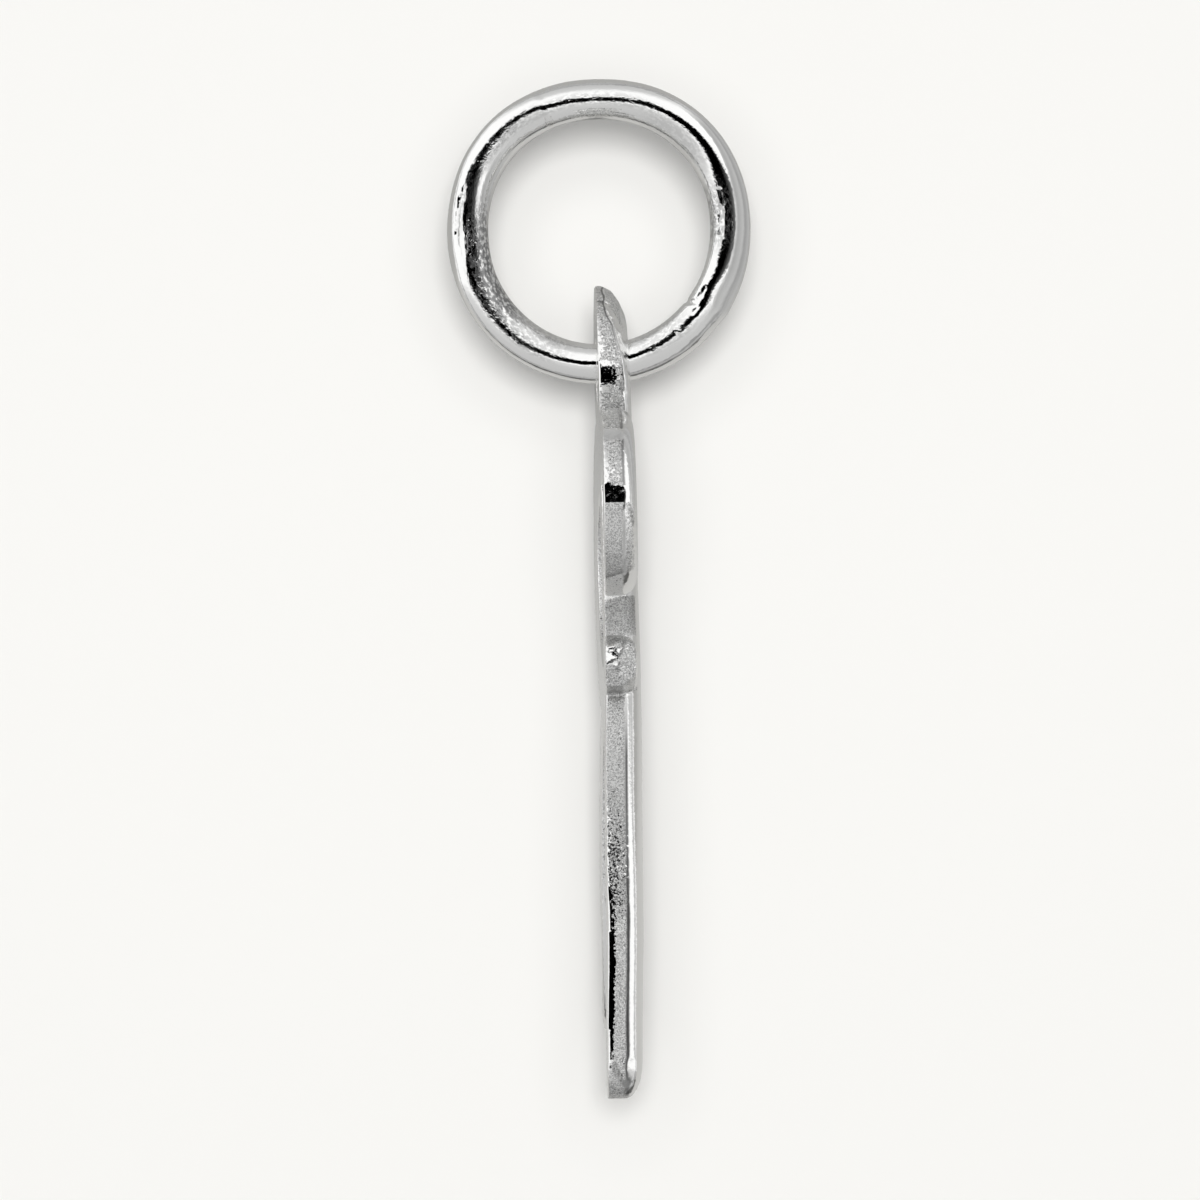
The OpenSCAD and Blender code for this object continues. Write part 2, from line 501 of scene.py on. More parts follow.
@dataclass(frozen=True)
class BrightCasting(Finish):
    """A polished casting whose upright sides keep the fine grain of the mould."""

    name: str = "bright_casting"
    slot: Slot = Slot.CASTING
    polish: float = 0.06
    ripple: Grain = Grain(1.3 * MM, 0.0, depth=0.012 * MM)
    skin: Grain = Grain(0.1 * MM, 3.0, depth=0.0055 * MM)
    lumps: Grain = Grain(0.06 * MM, 2.0, 0.4, 0.07 * MM)
    grain: Grain = Grain(0.035 * MM, 3.0, 0.3, 0.018 * MM)
    grain_roughness: float = 0.34
    # The light and dark of the grain, and how much of it the deepest shade leaves
    pepper: Grain = Grain(0.028 * MM, 2.0, 0.2, span=(0.4, 0.62))
    grain_light: Colour = (0.95, 0.95, 0.94, 1.0)
    grain_dark: Colour = (0.5, 0.5, 0.495, 1.0)
    shaded: float = 0.5
    brightest: Triple = (0.97, 0.97, 0.96)
    specks: Grain = Grain(0.0455 * MM, 1.0, 0.5, span=(0.68, 0.72))
    speck_colour: Colour = (0.12, 0.12, 0.12, 1.0)
    # How the zones' edges wander, where the skin is fine and where it is coarse
    edges: Grain = Grain(0.06 * MM, 3.0, span=(0.3, 0.7))
    wander: Span = (0.1, 0.7)
    strip_edge: Span = (0.44, 0.56)
    strip_core: Span = (0.0, 0.15)
    matt_edge: Span = (0.4, 0.6)
    # The tilts to the front at which the upright sides end
    side_front: Span = (0.08, 0.26)
    side_back: Span = (-0.7, -0.3)
    # The tilts at which the painted shade line below the shoulder begins and ends
    line_begins: Span = (0.06, 0.26)
    line_ends: Span = (0.28, 0.42)
    shade_line_colour: Colour = (0.13, 0.13, 0.13, 1.0)
    # Spots of painted dark reflection on the upright sides near the back, which a mottled zone makes thicker
    painted_mottle: Grain = Grain(0.045 * MM, 2.0, 0.6, span=(0.62, 0.66))
    painted_mottle_gain: float = 0.15
    painted_mottle_zone: Span = (0.02, 0.2)
    painted_mottle_begins: Span = (-0.4, -0.2)
    painted_mottle_colour: Colour = (0.04, 0.04, 0.04, 1.0)

    def surface(self, graph: Graph, place: Socket, ripple: Socket) -> Surface:
        """A polished skin, with grain, painted shade and light, a painted shade line and painted dark mottles
        where the casting's zones say.
        """
        off_strip, tilt, matt, shade, coarse, mottled, shade_line_share = map(graph.zone, (
            Zone.OFF_STRIP, Zone.TILT, Zone.MATT, Zone.SHADE, Zone.COARSE, Zone.SOILED, Zone.EDGED))
        # Where the skin is still as cast, and where a painted shade line lies along its front edge
        uneven = graph.times(graph.spots(place, self.edges, (-1.0, 1.0)), graph.straight(coarse, self.wander))
        ragged = graph.rise(graph.math("ADD", off_strip, uneven), self.strip_edge)
        kept = graph.times(ragged, graph.rise(off_strip, self.strip_core))
        upright = graph.times(graph.rise(tilt, self.side_front, FALLING), graph.rise(tilt, self.side_back))
        unreached = graph.rise(graph.math("ADD", matt, graph.times(uneven, matt)), self.matt_edge)
        cast = graph.times(kept, graph.math("MAXIMUM", upright, unreached))
        # A painted shade line along the tilts just below the shoulder
        shade_line = graph.times(graph.rise(tilt, self.line_begins), graph.rise(tilt, self.line_ends, FALLING),
                              kept, graph.rise(unreached, RISING, FALLING), shade_line_share)

        skin = graph.relief(place, self.skin, 1.0, ripple)
        lumps = graph.relief(place, self.lumps, graph.times(cast, coarse), skin)
        normal = graph.relief(place, self.grain, cast, lumps)
        dull = graph.math("MAXIMUM", cast, shade_line)

        grained = graph.blend(graph.spots(place, self.pepper), self.grain_light, self.grain_dark)
        # The shade zone darkens the grain as painted shade, and lightens it as painted light where it is
        # below 0
        shading = graph.rise(shade, (-1.0, 1.0), (2 - self.shaded, self.shaded), smooth=False)
        grained = graph.vector_math("MULTIPLY", grained, shading)
        tone = graph.blend(cast, self.colour, graph.vector_math("MINIMUM", grained, self.brightest))
        # Painted dark mottles: spots of painted reflection of the dark lens side on the upright sides near
        # the back
        thick = graph.math("ADD", graph.noise(place, self.painted_mottle), graph.times(mottled, self.painted_mottle_gain))
        painted_mottle = graph.times(graph.rise(thick, self.painted_mottle.span), graph.rise(mottled, self.painted_mottle_zone),
                           upright, graph.rise(tilt, self.painted_mottle_begins))
        tone = graph.blend(painted_mottle, tone, self.painted_mottle_colour)
        tone = graph.blend(graph.times(graph.spots(place, self.specks), cast), tone, self.speck_colour)
        return (graph.blend(shade_line, tone, self.shade_line_colour),
                graph.straight(dull, (self.polish, self.grain_roughness)), normal)


# The charm's two pieces


@dataclass
class JumpRing:
    """One turn of round wire, closed by solder at its lower right, bent a little out of round by hand."""

    stations: int = 300
    section_sides: int = 40
    # Columns: degrees from the right, the wire's middle radius, its half width, how far out its crest lies
    shape: Rows = (
        (0, 2.625, 0.405, -0.05), (20, 2.66, 0.41, -0.01), (42, 2.69, 0.42, 0.05), (65, 2.68, 0.42, 0.04),
        (90, 2.645, 0.405, 0), (107, 2.66, 0.41, 0.01), (113.5, 2.67, 0.41, 0.02), (115.5, 2.67, 0.41, 0.08),
        (132, 2.69, 0.41, 0.11), (152, 2.67, 0.41, 0.11), (168, 2.64, 0.41, 0.03), (185, 2.63, 0.41, -0.08),
        (202, 2.64, 0.41, 0.03), (226, 2.65, 0.41, 0.06), (250, 2.65, 0.4, 0.02), (270, 2.65, 0.4, -0.02),
        (292, 2.64, 0.4, -0.08), (315, 2.63, 0.405, -0.11), (322, 2.63, 0.4, -0.11),
        (327, 2.635, 0.412, -0.14), (332, 2.63, 0.398, -0.19), (345, 2.625, 0.405, -0.12),
    )
    # Worn places on the front. Columns: degrees, reach to either side, strength, and from what to what
    # offset outwards from the wire's middle
    worn: Rows = (
        (200, 44, 1, -0.5, 0.04), (238, 24, 0.4, -0.5, 0.04), (8, 22, 0.6, -0.5, 0.04),
        (50, 26, 0.2, -0.5, 0.04), (302, 20, 0.3, -0.5, 0.04), (95, 45, 0.3, -0.1, 0.14),
        (148, 40, 0.5, -0.06, 0.2), (222, 34, 0.6, -0.12, 0.16),
    )
    # How softly a worn place ends across the wire, and the share of its reach that has its full strength
    worn_edge: float = 0.04
    worn_core: float = 0.35
    # Dents and ridges of the pliers, the solder and the wheel on the front. Columns: degrees and offset
    # outwards from the wire's middle, for both ends, depth and reach
    marks: Rows = (
        (-34, -0.25, -28.5, -0.25, 0.016, 0.055), (-38.6, -0.38, -36, -0.24, 0.03, 0.07),
        (-41, -0.15, -37, -0.15, 0.01, 0.055), (-52.5, -0.16, -51.5, -0.04, -0.01, 0.055),
        (-56, 0.22, -49, 0.28, 0.005, 0.13), (-44, 0.32, -36, 0.26, 0.004, 0.13),
        (162, 0.2, 167, 0.21, 0.012, 0.055), (166, 0.21, 181, 0.22, 0.024, 0.06),
        (180, 0.22, 190, 0.21, 0.018, 0.06), (-7, -0.24, -1, -0.22, 0.008, 0.05),
        (-2, -0.21, 8, -0.19, 0.014, 0.05), (7, -0.22, 11, -0.2, 0.01, 0.05),
        (9, -0.16, 19, -0.1, 0.01, 0.045), (113, -0.06, 114.5, 0.06, 0.005, 0.07),
    )
    mark_half_width: float = 0.03
    finish: BrightWire = field(default_factory=BrightWire)

    def shape_at(self, degrees: float) -> list[float]:
        """The row of the shape at any angle, smooth all the way round."""
        turned = degrees % CIRCLE
        rows = [(row[0] + lap, *row[1:]) for lap in (-CIRCLE, 0, CIRCLE) for row in self.shape]
        i = max(k for k, row in enumerate(rows) if row[0] <= turned)
        return between(rows, i, (turned - rows[i][0]) / (rows[i + 1][0] - rows[i][0]))

    def station(self, degrees: float) -> Station:
        """The wire's section at an angle."""
        _, radius, half, crest = self.shape_at(degrees)
        a = math.radians(degrees)
        return Station(radius * math.cos(a), radius * math.sin(a), a + QUARTER_TURN, half,
                       WIRE_R, 1 - crest / (2 * WIRE_R))

    def model(self) -> Piece:
        """The ring in its own millimetres: its wire swept round, and the two ends joined."""
        bpy.ops.mesh.primitive_circle_add(vertices=self.section_sides, radius=1, fill_type="NGON")
        ring = bpy.context.object
        ring.name = "jump_ring_wire"
        gap = CIRCLE / self.stations
        sweep(ring, [self.station(SOLDER_ANGLE + gap / 2 + gap * i) for i in range(self.stations)])
        with editing(ring, "FACE"):
            delete_sections(ring)
            bpy.ops.mesh.select_mode(type="EDGE")
            bpy.ops.mesh.select_all(action="DESELECT")
            bpy.ops.mesh.select_non_manifold()
            bpy.ops.mesh.bridge_edge_loops()
        face_outwards(ring)
        apply_modifier(ring, "SUBSURF", levels=1, render_levels=1)
        self.mark(ring)
        return ring

    def mark(self, ring: Piece) -> None:
        """Press each mark into the front of the wire."""
        at = places(ring)
        angle = np.arctan2(at[:, 2], at[:, 1])
        for start, off, end, off_end, depth, reach in self.marks:
            middle = math.radians((start + end) / 2)
            radius = self.shape_at((start + end) / 2)[1]
            run = np.remainder(angle - middle + math.pi, FULL_TURN) - math.pi
            along = np.stack([run * radius, np.hypot(at[:, 1], at[:, 2]) - radius], axis=1)
            half = math.radians(end - start) / 2 * radius
            near = away_from(along, (-half, off), (half, off_end)) < self.mark_half_width
            lean = (off + off_end) / 2 / WIRE_R
            out = Vector((0, math.cos(middle), math.sin(middle)))
            facing = Vector((1, 0, 0)) * math.sqrt(1 - lean ** 2) + out * lean
            press_in(ring, near & (at[:, 0] > 0), facing * -depth, reach)

    def dress(self, ring: Piece) -> None:
        """Mark where the wire is worn and give it its finish."""
        at = places(ring)
        angle = np.degrees(np.arctan2(at[:, 2], at[:, 1])) % CIRCLE
        off = np.hypot(at[:, 1], at[:, 2]) - RING_R - WIRE_R
        total = np.zeros(len(at))
        for middle, reach, strength, low, high in self.worn:
            away = np.abs((angle - middle + CIRCLE / 2) % CIRCLE - CIRCLE / 2)
            here = (smooth_step(off, low - self.worn_edge, low + self.worn_edge)
                    * smooth_drop(off, high - self.worn_edge, high + self.worn_edge)
                    * smooth_drop(away, reach * self.worn_core, reach))
            total = np.maximum(total, strength * here)
        mark_zone(ring, Zone.WORN, total * (at[:, 0] > 0))
        ring.data.materials.append(self.finish.make())

    def build(self) -> Piece:
        """The finished ring, in place of its CAD node."""
        low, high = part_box("jump_ring")
        ring = self.model()
        self.dress(ring)
        set_down(ring, (low + high) / 2, (0, 0, -QUARTER_TURN))
        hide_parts("jump_ring")
        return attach(ring, "ring")


@dataclass
class ScriptLetter:
    """The letter R with its eye, one casting with a flat back and a domed front.

    Each run of the pen is a table of across, up and half width, from the middle of the eye's hole.
    """

    flag_and_bowl: Rows = (
        (-2.9, -3.2, 0.56), (-3.56, -3.74, 0.6), (-4.46, -3.7, 0.62), (-5.18, -3.06, 0.6),
        (-5.32, -2.2, 0.56), (-4.76, -1.48, 0.53), (-3.66, -1.2, 0.51), (-2.06, -1.32, 0.54),
        (-0.16, -1.54, 0.66), (1.74, -1.72, 0.78), (3.32, -2.56, 0.88), (3.78, -4.05, 0.88),
        (2.86, -5.52, 0.74), (1.3, -6.26, 0.56), (-0.26, -6.28, 0.48), (-1.36, -6, 0.48),
        (-2.28, -5.72, 0.53),
    )
    stem: Rows = (
        (0.29, -1.6, 0.6), (0.02, -3.4, 0.7), (-0.78, -5.8, 0.8), (-1.7, -7.9, 0.86), (-2.36, -9.55, 0.86),
        (-2.54, -11.2, 0.84), (-2.58, -12.6, 0.8), (-2.62, -13.66, 0.74),
    )
    leg: Rows = (
        (0.32, -6.45, 0.5), (1.56, -7.7, 0.72), (2.54, -9.6, 0.88), (3.26, -11.3, 0.84), (4.14, -12.5, 0.64),
        (5.2, -12.6, 0.42),
    )
    thickness: float = 0.74
    width: float = 11.5
    height: float = 16.18
    heaviest: float = 0.88
    light_stroke_loss: float = 0.3
    steps: int = 14
    end_angles: Row = (15, 30, 44, 56, 67, 77, 85)
    section_segments: int = 12
    section_squareness: float = 0.575
    stroke_wall_share: float = 0.41
    eye_hole_r: float = 0.75
    eye_half_width: float = 0.525
    eye_wall_share: float = 0.72
    eye_steps: int = 120
    # Columns: degrees from the top of the eye, thickness left at its rim, reach in from the rim
    filed_flats: Rows = (
        (0, 0.12, 0.28), (0, 0.253, 0.567), (0, 0.336, 0.72), (0, 0.498, 0.91), (19, 0.13, 0.28),
        (19, 0.253, 0.567), (19, 0.336, 0.72), (19, 0.498, 0.91), (37, 0.15, 0.3), (37, 0.27, 0.57),
        (37, 0.35, 0.72), (37, 0.5, 0.9), (50, 0.33, 0.45), (50, 0.42, 0.65), (50, 0.52, 0.85),
        (63, 0.48, 0.5), (63, 0.55, 0.8), (76, 0.6, 0.5),
    )
    mesh_size: float = 0.0475
    polish_strength: float = 0.5
    polish_passes: int = 2
    # How far the casting is bent to the front. Columns: across, up, bend, reach
    bends: Rows = ((-0.6, -4.4, 0.07, 5), (5.4, -12.6, 0.05, 2.2), (-2.6, -13.9, -0.04, 2.2))
    # How far round its middle a bend is whole, in space and seen from the front
    bend_core: float = 1.0
    bend_core_seen: float = 0.9
    # How wide the polished strip is along the back of the long wall. Columns: up, width
    polished_strip: Rows = (
        (-14.5, -0.1), (-13.87, -0.02), (-13.75, 0.07), (-13.3, 0.11), (-12.6, 0.14), (-11.3, 0.14),
        (-10.4, 0.12), (-9.9, 0.03), (-9.3, 0.05), (-8.3, -0.03), (-7.6, -0.1), (-5.85, -0.1), (-5.75, 0.25),
        (-5.4, 0.25), (-5.3, -0.1), (-3.9, -0.06), (-2.75, 0), (-2.585, 0), (-2.58, 0.9), (-2.25, 0.9),
        (-2.245, 0.12), (-1.33, 0.1), (-1.3, 0.9), (-1.12, 0.9), (-1.1, 0.1), (-0.35, 0.04), (-0.24, 0.36),
        (0.2, 0.36), (0.3, 0.09), (1, 0.05), (1.8, 0),
    )
    strip_edge: float = 0.16
    # Places that no mop reached. Columns: across, up, reach across, reach up, how matt, from what tilt
    matt_patches: Rows = (
        (0, 1.3, 2, 0.6, 1, 0.45), (-1, -4.8, 1.4, 0.42, 1, -0.4), (-2.3, -5.7, 0.8, 0.65, 1, -0.4),
        (-5, -3.2, 1.6, 0.8, 0.55, 0.3),
    )
    # How a matt place ends: by shares of its reach, round its least tilt, and on the level front
    matt_rim: Span = (0.85, 1.05)
    matt_tilt: float = 0.05
    matt_level: Span = (0.85, 0.97)
    # Where the filed top of the eye begins. Columns: depth from the back, up
    filed_line: Rows = ((0, 1.55), (0.15, 1.44), (0.31, 1.31), (0.435, 1.1), (0.636, 0.47), (0.74, 0.1))
    filed_edge: float = 0.03
    # The skin of the upright sides. Columns: up, how coarse, painted shade (painted light where below 0), how
    # thick the painted dark mottles are, and how strong the painted shade line below the shoulder is
    skin: Rows = (
        (-14.5, 0.8, 0, 0, 0.4), (-13.8, 0.4, 0, 0, 1), (-13, 0.12, 0, 0, 1), (-11.4, 0.15, 0, 0, 1),
        (-10.9, 0.5, 0.1, 0, 1), (-10.4, 0.8, 0.4, 0.8, 1), (-9.3, 0.8, 0.55, 1, 1), (-8.6, 0.6, 0.5, 0.2, 1),
        (-7.6, 0.3, 0.45, 0, 1), (-7, 0.1, 0.35, 0, 0.6), (-6.2, 0.25, 0.15, 0, 0.2), (-5.9, 0.9, 0, 0, 0),
        (-5.2, 0.7, 0.3, 0, 0), (-5.1, 0.3, 0.6, 0, 0), (-4.43, 0.3, 0.85, 0, 0), (-4.4, 0.05, -1, 0, 0),
        (-3.98, 0.05, -0.9, 0, 0), (-3.94, 0.3, 1.2, 0, 0.2), (-3.88, 0.3, 0.3, 0, 0.2),
        (-3.2, 0.25, 0, 0, 0.4), (-2.61, 0.15, 0, 0, 0.4), (-2.58, 0.05, 0, 0, 0.5), (-2.25, 0.05, 0, 0, 0.5),
        (-2.2, 0.2, 0, 0, 0.8), (-2, 0.9, 0.1, 0, 0.8), (0.3, 1, 0.1, 0, 0.7), (1.8, 0.7, 0.15, 0, 1),
    )
    # How much higher its changes lie at the front than at the back
    skin_slant: float = 0.3
    # How far across the painted shade reaches, how far from the back the painted dark mottles reach, and the
    # share of them beyond
    darkened: Span = (0.0, 1.0)
    mottled: Span = (0.1, 0.42)
    mottled_beyond: float = 0.2
    # Sides that see the letter itself within a reach get painted shade in their hollows, deeper the closer it
    # is
    hollow_reach: float = 1.9
    hollow_tilt: float = 0.6
    hollow_start: float = 0.02
    hollow_span: Span = (0.0, 0.6)
    hollow_shade: float = 0.35
    # Creases and ridges on the wall that faces the reader's left. Columns: depth from the back and up, for
    # both ends, depth and reach
    marks: Rows = (
        (0, 1.53, 0.2, 1.41, 0.02, 0.08), (0.18, 1.41, 0.36, 1.17, -0.014, 0.08),
        (0.36, 1.17, 0.5, 0.83, -0.014, 0.08), (0.5, 0.83, 0.6, 0.47, -0.014, 0.08),
        (0.44, -0.14, 0.55, -0.38, 0.012, 0.06), (0.55, -0.38, 0.64, -0.58, 0.012, 0.06),
        (0.5, -2.64, 0.58, -2.95, 0.012, 0.06), (0.58, -2.95, 0.66, -3.3, 0.012, 0.06),
        (0.66, -3.3, 0.69, -3.6, 0.01, 0.06), (0.12, -5.32, 0.48, -5.22, 0.02, 0.1),
        (0.16, -5.5, 0.3, -5.88, 0.012, 0.09), (0.44, -5.3, 0.32, -5.6, 0.02, 0.1),
        (0.24, -5.76, 0.42, -5.72, 0.01, 0.09), (0.1, -13.7, 0.32, -14.18, 0.02, 0.1),
        (0.44, -13.66, 0.34, -14.16, 0.02, 0.1),
    )
    mark_half_width: float = 0.035
    # How far behind the outermost wall marks are pressed in and get painted shade, and how that painted shade
    # ends
    mark_behind: float = 0.15
    crease_shade_behind: float = 0.2
    crease_shade_edge: Span = (0.01, 0.05)
    # Small flats that the file and the wheel left on the curl, the stub and the foot
    flats: tuple[Flat, ...] = (
        Flat((0.3, -5.876, -2.42), (0.0, -1.0, 0.05), 0.34),
        Flat((0.2, -2.66, -5.36), (0.0, -0.8, 0.6), 0.34),
        Flat((0.48, -2.6, -5.5), (0.45, -0.8, 0.3), 0.26),
        Flat((0.2, -2.72, -5.66), (0.1, -0.95, 0.12), 0.26),
        Flat((0.46, -2.62, -5.8), (0.3, -0.9, -0.2), 0.24),
        Flat((0.2, -2.6, -5.98), (-0.1, -0.85, -0.5), 0.26),
        Flat((0.16, -3.28, -14.02), (-0.1, -0.85, -0.5), 0.34),
        Flat((0.4, -3.26, -14.04), (0.35, -0.8, -0.45), 0.3),
        Flat((0.58, -3.16, -13.9), (0.75, -0.6, -0.3), 0.3),
        Flat((0.3, -2.9, -14.32), (0.2, -0.4, -0.9), 0.4),
    )
    finish: BrightCasting = field(default_factory=BrightCasting)

    def weight(self, half_width: float) -> float:
        """How thick a stroke is for its half width, as a share of the thickest."""
        return 1 - self.light_stroke_loss * (1 - half_width / self.heaviest)

    @property
    def eye_depth(self) -> float:
        """How thick the eye is."""
        return self.thickness * self.weight(self.eye_half_width)

    def section(self, name: str, wall_share: float) -> Piece:
        """The D-shaped face of every stroke: a plane whose two front corners are rounded to meet.

        Args:
            name: the new object's name.
            wall_share: the share of the depth that the straight sides take.

        Returns:
            A face with its flat back on X = 0, one deep and two wide.
        """
        bpy.ops.mesh.primitive_plane_add(size=2)
        face = bpy.context.object
        face.name = name
        with editing(face):
            pick_vertices(face, lambda vertex: vertex.co.x > 0)
            bpy.ops.mesh.bevel(offset=1.0, offset_type="OFFSET", segments=self.section_segments,
                               profile=self.section_squareness, affect="VERTICES")
            bpy.ops.mesh.select_all(action="SELECT")
            bpy.ops.mesh.remove_doubles(threshold=TOUCHING)
            for side, share in ((1, 1 - wall_share), (-1, wall_share)):
                pick_vertices(face, lambda vertex: side * vertex.co.x > TOUCHING)
                bpy.ops.transform.resize(value=(share, 1, 1), center_override=(0, 0, 0))
            bpy.ops.mesh.select_all(action="SELECT")
            bpy.ops.transform.translate(value=(wall_share, 0, 0))
        return face

    def stations(self, rows: Rows) -> list[Station]:
        """The sections along one run of the pen, with a round terminal at both ends."""
        line = [between(rows, i, k / self.steps) for i in range(len(rows) - 1) for k in range(self.steps)]
        line.append(list(rows[-1]))
        headings = [math.atan2(b[1] - a[1], b[0] - a[0])
                    for a, b in zip([line[0]] + line[:-1], line[1:] + [line[-1]])]
        middle = [Station(y, z, turn, half, self.thickness * self.weight(half))
                  for (y, z, half), turn in zip(line, headings)]

        def terminal(end: Station, side: int) -> list[Station]:
            """The shrinking sections that round off one end, from the stroke outwards."""
            out = []
            for a in map(math.radians, self.end_angles):
                reach = side * end.half_width * math.sin(a)
                fullness = (1 + math.cos(a)) / 2
                out.append(Station(end.across + reach * math.cos(end.heading),
                                   end.up + reach * math.sin(end.heading), end.heading,
                                   end.half_width * math.cos(a), end.depth * fullness))
            return out
        return terminal(middle[0], -1)[::-1] + middle + terminal(middle[-1], 1)

    def stroke(self, name: str, rows: Rows) -> Piece:
        """One run of the pen as a closed solid."""
        solid = self.section(name, self.stroke_wall_share)
        sweep(solid, self.stations(rows))
        face_outwards(solid)
        return solid

    def eye(self) -> Piece:
        """The eye: a section spun round the middle of its hole, with flats filed on its front."""
        eye = self.section("eye", self.eye_wall_share)
        eye.scale = (self.eye_depth, self.eye_half_width, 1)
        eye.location = (0, self.eye_hole_r + self.eye_half_width, 0)
        settle(eye)
        with editing(eye, "FACE"):
            bpy.ops.mesh.spin(steps=self.eye_steps, angle=FULL_TURN, center=(0, 0, 0), axis=(1, 0, 0))
            delete_sections(eye)
        face_outwards(eye)
        self.file_eye(eye)
        return eye

    def file_eye(self, eye: Piece) -> None:
        """Cut the flats round the front of the eye's top, each from its rim up to the front face."""
        rim = self.eye_hole_r + 2 * self.eye_half_width
        with editing(eye):
            for from_top, left, reach in self.filed_flats:
                for side in (-1, 1) if from_top else (1,):
                    a = math.radians(side * from_top)
                    out = Vector((0, math.sin(a), math.cos(a)))
                    facing = Vector((reach, 0, 0)) + out * (self.eye_depth - left)
                    bpy.ops.mesh.select_all(action="SELECT")
                    bpy.ops.mesh.bisect(plane_co=out * rim + Vector((left, 0, 0)), plane_no=facing,
                                        use_fill=True, clear_outer=True)

    def cast(self, parts: Sequence[Piece]) -> Piece:
        """Fuse the strokes and the eye into one skin and soften it as polishing does.

        Args:
            parts: closed solids that pass into each other.

        Returns:
            The casting, at its stated size.
        """
        make_active(parts[0])
        for part in parts:
            part.select_set(True)
        bpy.ops.object.join()
        strokes = bpy.context.object
        bpy.ops.object.duplicate()
        letter = bpy.context.object
        letter.name = "script_letter"
        apply_modifier(letter, "REMESH", mode="VOXEL", voxel_size=self.mesh_size)
        apply_modifier(letter, "SHRINKWRAP", target=strokes)
        apply_modifier(letter, "SMOOTH", factor=self.polish_strength, iterations=self.polish_passes)
        bpy.data.objects.remove(strokes)
        self.bring_to_size(letter)
        for across, up, bend, reach in self.bends:
            off = places(letter) - (self.thickness / 2, across, up)
            press_in(letter, np.linalg.norm(off, axis=1) < self.bend_core, Vector((bend, 0, 0)), reach)
        with editing(letter):
            for flat in self.flats:
                flat.file(letter)
        self.mark(letter)
        return letter

    def bring_to_size(self, letter: Piece) -> None:
        """Scale the casting to its stated size about the middle of the hole, with its back on X = 0."""
        at = places(letter)
        low, high = at.min(0), at.max(0)
        letter.scale = np.divide((self.thickness, self.width, self.height), high - low)
        letter.location = (-low[0] * letter.scale[0], 0, 0)
        settle(letter)

    def mark(self, letter: Piece) -> None:
        """Press each mark into the nearest wall."""
        at = places(letter)
        for depth, up, depth_end, up_end, push, reach in self.marks:
            near = away_from(at[:, [0, 2]], (depth, up), (depth_end, up_end)) < self.mark_half_width
            if near.any():
                near &= at[:, 1] < at[near, 1].min() + self.mark_behind
            press_in(letter, near, Vector((0, push, 0)), reach)

    def crease_shade(self, at: np.ndarray) -> np.ndarray:
        """How much painted shade the pressed-in marks get at each place."""
        held = np.zeros(len(at))
        for depth, up, depth_end, up_end, push, reach in self.marks:
            if push > 0:
                away = away_from(at[:, [0, 2]], (depth, up), (depth_end, up_end))
                outer = at[:, 1] < at[away < reach, 1].min() + self.crease_shade_behind
                held = np.maximum(held, outer * smooth_drop(away, *self.crease_shade_edge))
        return held

    def hollows(self, letter: Piece, at: np.ndarray, normal: np.ndarray) -> np.ndarray:
        """How closely each place faces the letter itself, which sets the painted shade in hollows: 1 where it
        does so closely.
        """
        tree = BVHTree.FromPolygons(at.tolist(), [tuple(face.vertices) for face in letter.data.polygons])
        hollow = np.zeros(len(at))
        for i in np.flatnonzero(np.abs(normal[:, 0]) < self.hollow_tilt):
            way = Vector(normal[i])
            distance = tree.ray_cast(Vector(at[i]) + way * self.hollow_start, way, self.hollow_reach)[3]
            if distance is not None:
                hollow[i] = 1 - distance / self.hollow_reach
        return smooth_step(hollow, *self.hollow_span)

    def back_at(self, at: np.ndarray) -> np.ndarray:
        """How far the bends have moved the flat back to the front at each place."""
        moved = np.zeros(len(at))
        for across, up, bend, reach in self.bends:
            off = np.hypot(at[:, 1] - across, at[:, 2] - up)
            moved += bend * smooth_drop(off, self.bend_core_seen, self.bend_core_seen + reach)
        return moved

    def matt(self, at: np.ndarray, tilt: np.ndarray) -> np.ndarray:
        """How matt each place is that no mop reached, except on the level front."""
        matt = np.zeros(len(at))
        for across, up, reach_across, reach_up, strength, least in self.matt_patches:
            off = np.maximum(np.abs(at[:, 1] - across) / reach_across, np.abs(at[:, 2] - up) / reach_up)
            tilted = smooth_step(tilt, least - self.matt_tilt, least + self.matt_tilt)
            matt = np.maximum(matt, strength * smooth_drop(off, *self.matt_rim) * tilted)
        above_line = at[:, 2] - np.interp(at[:, 0], *zip(*self.filed_line))
        filed = smooth_step(above_line, -self.filed_edge, self.filed_edge)
        return matt * np.where(at[:, 2] > 0, filed, 1) * smooth_drop(tilt, *self.matt_level)

